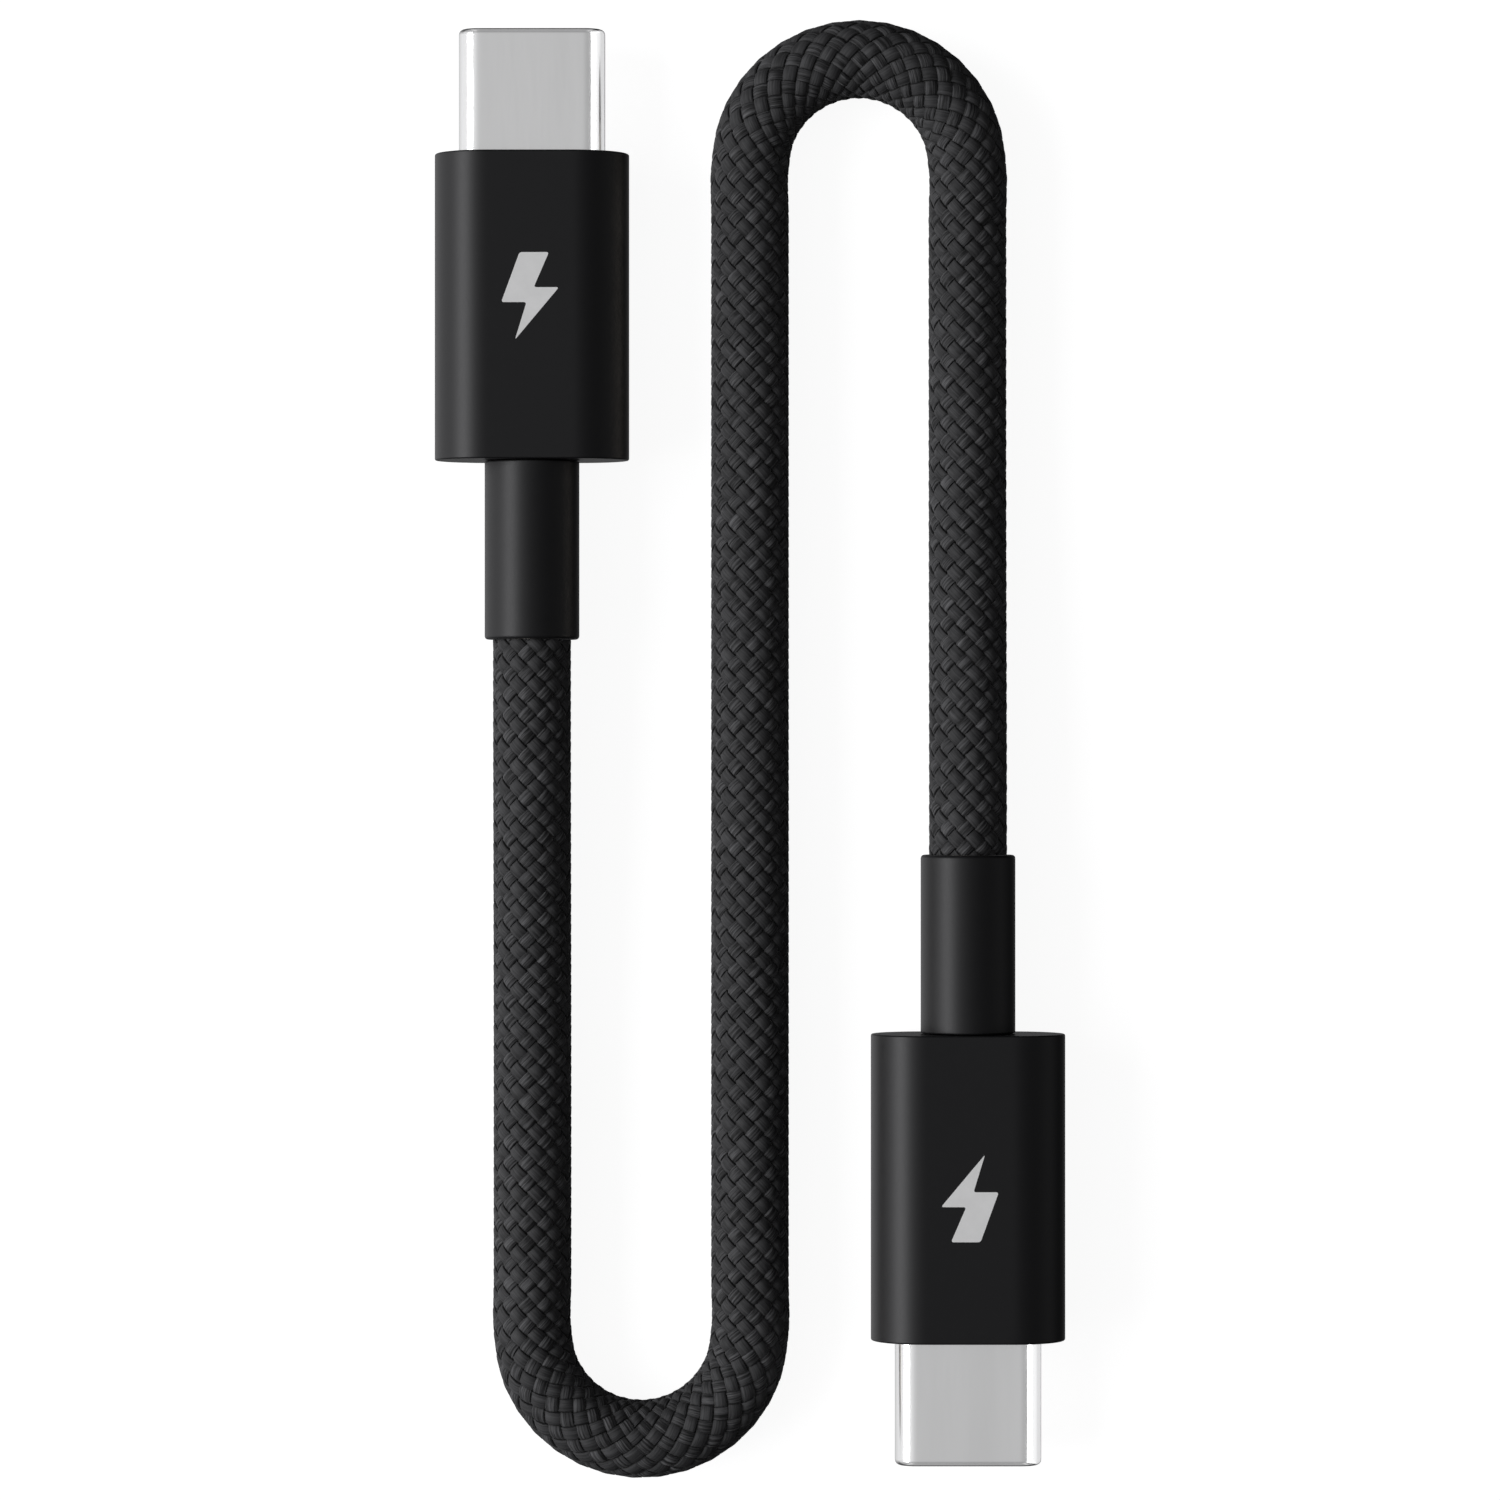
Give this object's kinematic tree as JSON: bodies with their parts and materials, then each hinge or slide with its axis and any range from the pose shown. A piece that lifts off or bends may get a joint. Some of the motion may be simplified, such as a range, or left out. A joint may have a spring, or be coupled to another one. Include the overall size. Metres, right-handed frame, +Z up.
{
  "type": "charging cable",
  "caption": "Short woven charging cable lying in a flat S, with a reversible oval plug, a slab-sided housing and a straight strain relief at each end.",
  "frame": {"origin": "midway between the two plugs, on the surface that the cable lies on", "axes": "+Y is the way plug A points, +Z is up from the surface, and plug B is plug A turned half a turn about Z"},
  "size_m": [0.0356, 0.0822, 0.006],
  "materials": {
    "woven_yarn": "flat multifilament yarn, plain diamond braid",
    "jacket_rubber": "matt extruded elastomer",
    "tinned_copper": "tinned copper, satin",
    "red_vinyl": "extruded vinyl",
    "black_vinyl": "extruded vinyl",
    "blue_vinyl": "extruded vinyl",
    "green_vinyl": "extruded vinyl",
    "white_vinyl": "extruded vinyl",
    "housing_plastic": "soft matt black, fine moulded grain",
    "boot_rubber": "matt black elastomer",
    "shell_steel": "satin stainless, drawn in one piece",
    "dark_resin": "moulded resin",
    "contact_gold": "gold plated",
    "spring_steel": "rolled spring steel",
    "board_resin": "solder-masked laminate",
    "mould_resin": "low-pressure moulding",
    "printed_mark": "light grey pad-printed ink"
  },
  "bodies": {
    "cord": {"woven_sleeve": "woven_yarn", "inner_jacket": "jacket_rubber", "shield_braid": "tinned_copper", "power_wire": "red_vinyl", "ground_wire": "black_vinyl", "cc_wire": "blue_vinyl", "data_plus_wire": "green_vinyl", "data_minus_wire": "white_vinyl"},
    "plug_a": {"plug_a_housing": "housing_plastic", "plug_a_strain_relief": "boot_rubber", "plug_a_shell": "shell_steel", "plug_a_front_insulator": "dark_resin", "plug_a_rear_insulator": "dark_resin", "plug_a_upper_contacts": "contact_gold", "plug_a_lower_contacts": "contact_gold", "plug_a_latch_spring": "spring_steel", "plug_a_upper_ground_spring": "spring_steel", "plug_a_lower_ground_spring": "spring_steel", "plug_a_circuit_board": "board_resin", "plug_a_control_chip": "dark_resin", "plug_a_upper_shield_can": "spring_steel", "plug_a_lower_shield_can": "spring_steel", "plug_a_inner_mould": "mould_resin", "plug_a_crimp_ferrule": "tinned_copper", "plug_a_sleeve_tail": "woven_yarn", "plug_a_jacket_tail": "jacket_rubber", "plug_a_shield_tail": "tinned_copper", "plug_a_power_tail": "red_vinyl", "plug_a_ground_tail": "black_vinyl", "plug_a_cc_tail": "blue_vinyl", "plug_a_data_plus_tail": "green_vinyl", "plug_a_data_minus_tail": "white_vinyl"},
    "plug_b": {"plug_b_housing": "housing_plastic", "plug_b_strain_relief": "boot_rubber", "plug_b_shell": "shell_steel", "plug_b_front_insulator": "dark_resin", "plug_b_rear_insulator": "dark_resin", "plug_b_upper_contacts": "contact_gold", "plug_b_lower_contacts": "contact_gold", "plug_b_latch_spring": "spring_steel", "plug_b_upper_ground_spring": "spring_steel", "plug_b_lower_ground_spring": "spring_steel", "plug_b_circuit_board": "board_resin", "plug_b_control_chip": "dark_resin", "plug_b_upper_shield_can": "spring_steel", "plug_b_lower_shield_can": "spring_steel", "plug_b_inner_mould": "mould_resin", "plug_b_crimp_ferrule": "tinned_copper", "plug_b_sleeve_tail": "woven_yarn", "plug_b_jacket_tail": "jacket_rubber", "plug_b_shield_tail": "tinned_copper", "plug_b_power_tail": "red_vinyl", "plug_b_ground_tail": "black_vinyl", "plug_b_cc_tail": "blue_vinyl", "plug_b_data_plus_tail": "green_vinyl", "plug_b_data_minus_tail": "white_vinyl"}
  },
  "joints": [
    {"name": "plug_a_flex", "type": "hinge", "parent": "cord", "child": "plug_a", "pos_m": [-0.01228, 0.0111, 0.003], "axis": [0, 0, 1], "range_deg": [-10, 30], "stiffness_Nm_per_rad": 0.04, "deforming": ["plug_a_strain_relief"]},
    {"name": "plug_b_flex", "type": "hinge", "parent": "cord", "child": "plug_b", "pos_m": [0.01228, -0.0111, 0.003], "axis": [0, 0, 1], "range_deg": [-10, 30], "stiffness_Nm_per_rad": 0.04, "deforming": ["plug_b_strain_relief"]}
  ]
}
